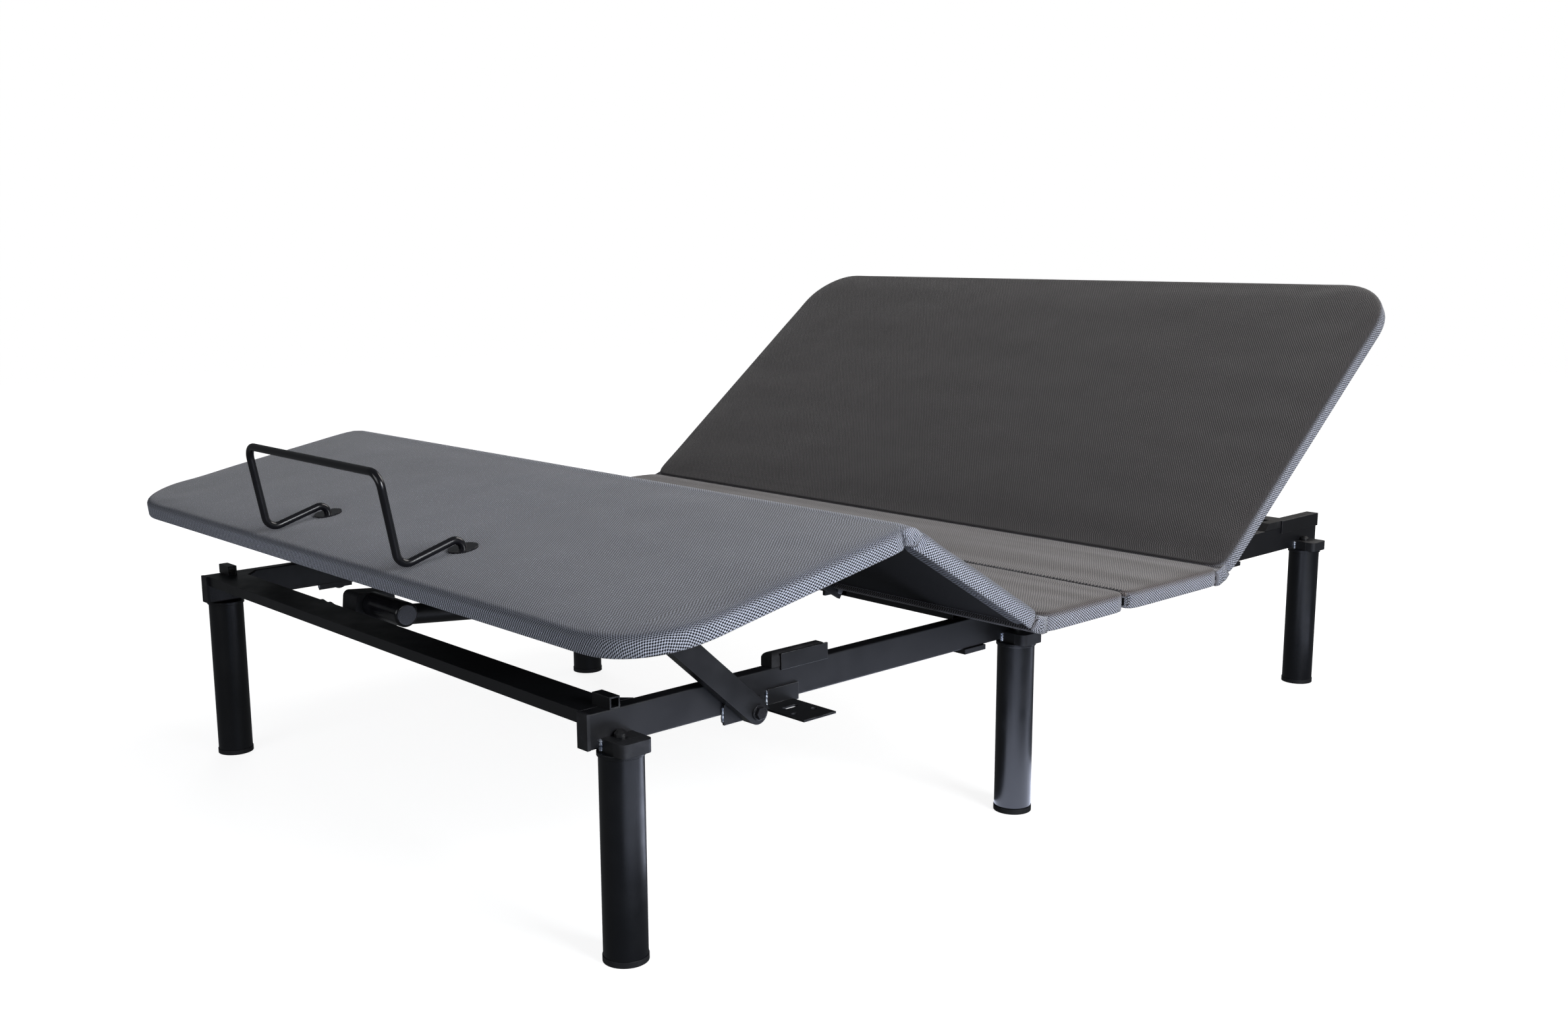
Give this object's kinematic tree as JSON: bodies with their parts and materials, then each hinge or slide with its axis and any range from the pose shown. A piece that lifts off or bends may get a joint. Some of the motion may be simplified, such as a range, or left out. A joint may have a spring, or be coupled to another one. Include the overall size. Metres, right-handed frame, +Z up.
{
  "type": "adjustable bed base",
  "caption": "Queen size adjustable bed base: padded deck in hinged sections on a black steel frame with round legs, lift actuators for head and legs, and a bent rod mattress retainer.",
  "frame": {"origin": "on the floor under the middle of the base's overall length and width, in the posed position", "axes": "+X to the right seen from the foot end, +Y from the foot end to the head end, +Z up"},
  "size_m": [1.524, 2.019, 0.8403],
  "materials": {
    "cover_fabric": "charcoal spacer mesh over foam",
    "board": "board with a black underside cloth",
    "black_steel": "satin black powder coat",
    "bare_steel": "zinc plated steel",
    "black_plastic": "black moulded plastic",
    "knob_plastic": "black nylon knob on a steel stud",
    "black_rubber": "black rubber"
  },
  "bodies": {
    "frame": {"left_rail_foot_half": "black_steel", "left_rail_head_half": "black_steel", "right_rail_foot_half": "black_steel", "right_rail_head_half": "black_steel", "left_foot_leg": "black_steel", "left_middle_leg": "black_steel", "left_head_leg": "black_steel", "right_foot_leg": "black_steel", "right_middle_leg": "black_steel", "right_head_leg": "black_steel", "leg_foot_caps": "black_plastic", "leg_brackets": "black_steel", "leg_bolts": "knob_plastic", "plastic_end_caps": "black_plastic", "rail_splice_blocks": "black_steel", "frame_bolts": "bare_steel", "foot_crossbeam": "black_steel", "head_crossbeam": "black_steel", "deck_stops": "black_steel", "rubber_bumpers": "black_rubber", "rail_brackets": "black_steel", "rail_saddles": "black_steel", "head_rest_bars": "black_steel", "headboard_plates": "black_steel", "arm_pivot_brackets": "black_steel", "seat_frame_foot_half": "black_steel", "seat_frame_head_half": "black_steel", "seat_foot_half_cover": "cover_fabric", "seat_foot_half_board": "board", "seat_head_half_cover": "cover_fabric", "seat_head_half_board": "board", "actuator_rear_pins": "bare_steel", "control_box": "black_plastic", "power_supply": "black_plastic", "power_inlet": "black_plastic"},
    "head": {"head_cover": "cover_fabric", "head_board": "board", "head_lift_frame": "black_steel", "head_frame_pins": "bare_steel"},
    "thigh": {"thigh_cover": "cover_fabric", "thigh_board": "board", "thigh_lift_frame": "black_steel", "thigh_frame_pins": "bare_steel"},
    "foot": {"foot_cover": "cover_fabric", "foot_board": "board", "foot_frame": "black_steel", "foot_frame_pins": "bare_steel", "mattress_retainer": "black_steel", "retainer_grommets": "black_plastic"},
    "left_arm": {"left_link_arm": "black_steel"},
    "right_arm": {"right_link_arm": "black_steel"},
    "leg_actuator": {"leg_actuator_gearbox": "black_plastic", "leg_actuator_motor": "black_steel", "leg_actuator_outer_tube": "black_steel"},
    "leg_rod": {"leg_actuator_rod": "bare_steel"},
    "head_actuator": {"head_actuator_gearbox": "black_plastic", "head_actuator_motor": "black_steel", "head_actuator_outer_tube": "black_steel"},
    "head_rod": {"head_actuator_rod": "bare_steel"}
  },
  "joints": [
    {"name": "thigh_hinge", "type": "hinge", "parent": "frame", "child": "thigh", "pos_m": [0, -0.25, 0.354], "axis": [-1, 0, 0], "range_deg": [-31, 4]},
    {"name": "knee_hinge", "type": "hinge", "parent": "thigh", "child": "foot", "pos_m": [0, -0.53115, 0.52293], "axis": [1, 0, 0], "range_deg": [-41.6, 5.5]},
    {"name": "left_arm_hinge", "type": "hinge", "parent": "frame", "child": "left_arm", "pos_m": [-0.596, -0.668, 0.291], "axis": [-1, 0, 0], "range_deg": [-30.6, 4.1]},
    {"name": "right_arm_hinge", "type": "hinge", "parent": "frame", "child": "right_arm", "pos_m": [0.596, -0.668, 0.291], "axis": [-1, 0, 0], "range_deg": [-30.6, 4.1]},
    {"name": "leg_actuator_pivot", "type": "hinge", "parent": "frame", "child": "leg_actuator", "pos_m": [-0.24, -0.845, 0.303], "axis": [-1, 0, 0], "range_deg": [-0.45, 0.1]},
    {"name": "leg_rod_slide", "type": "slide", "parent": "leg_actuator", "child": "leg_rod", "axis": [0, 0.9952, -0.0976], "range_m": [-0.0078, 0.059]},
    {"name": "head_hinge", "type": "hinge", "parent": "frame", "child": "head", "pos_m": [0, 0.244, 0.369], "axis": [1, 0, 0], "range_deg": [-38.4, 21.6]},
    {"name": "head_actuator_pivot", "type": "hinge", "parent": "frame", "child": "head_actuator", "pos_m": [0, -0.128, 0.292], "axis": [1, 0, 0], "range_deg": [-1.45, 0.85]},
    {"name": "head_rod_slide", "type": "slide", "parent": "head_actuator", "child": "head_rod", "axis": [0, 0.9987, -0.0512], "range_m": [-0.0642, 0.0362]}
  ],
  "couplings": [
    {"joint": "knee_hinge", "follows": "thigh_hinge", "ratio": 1.3387},
    {"joint": "left_arm_hinge", "follows": "thigh_hinge", "ratio": 0.98245},
    {"joint": "right_arm_hinge", "follows": "thigh_hinge", "ratio": 0.98245},
    {"joint": "leg_actuator_pivot", "follows": "thigh_hinge", "ratio": 0.013558},
    {"joint": "leg_rod_slide", "follows": "thigh_hinge", "m_per_rad": -0.10846},
    {"joint": "head_actuator_pivot", "follows": "head_hinge", "ratio": 0.036339},
    {"joint": "head_rod_slide", "follows": "head_hinge", "m_per_rad": 0.095455}
  ]
}
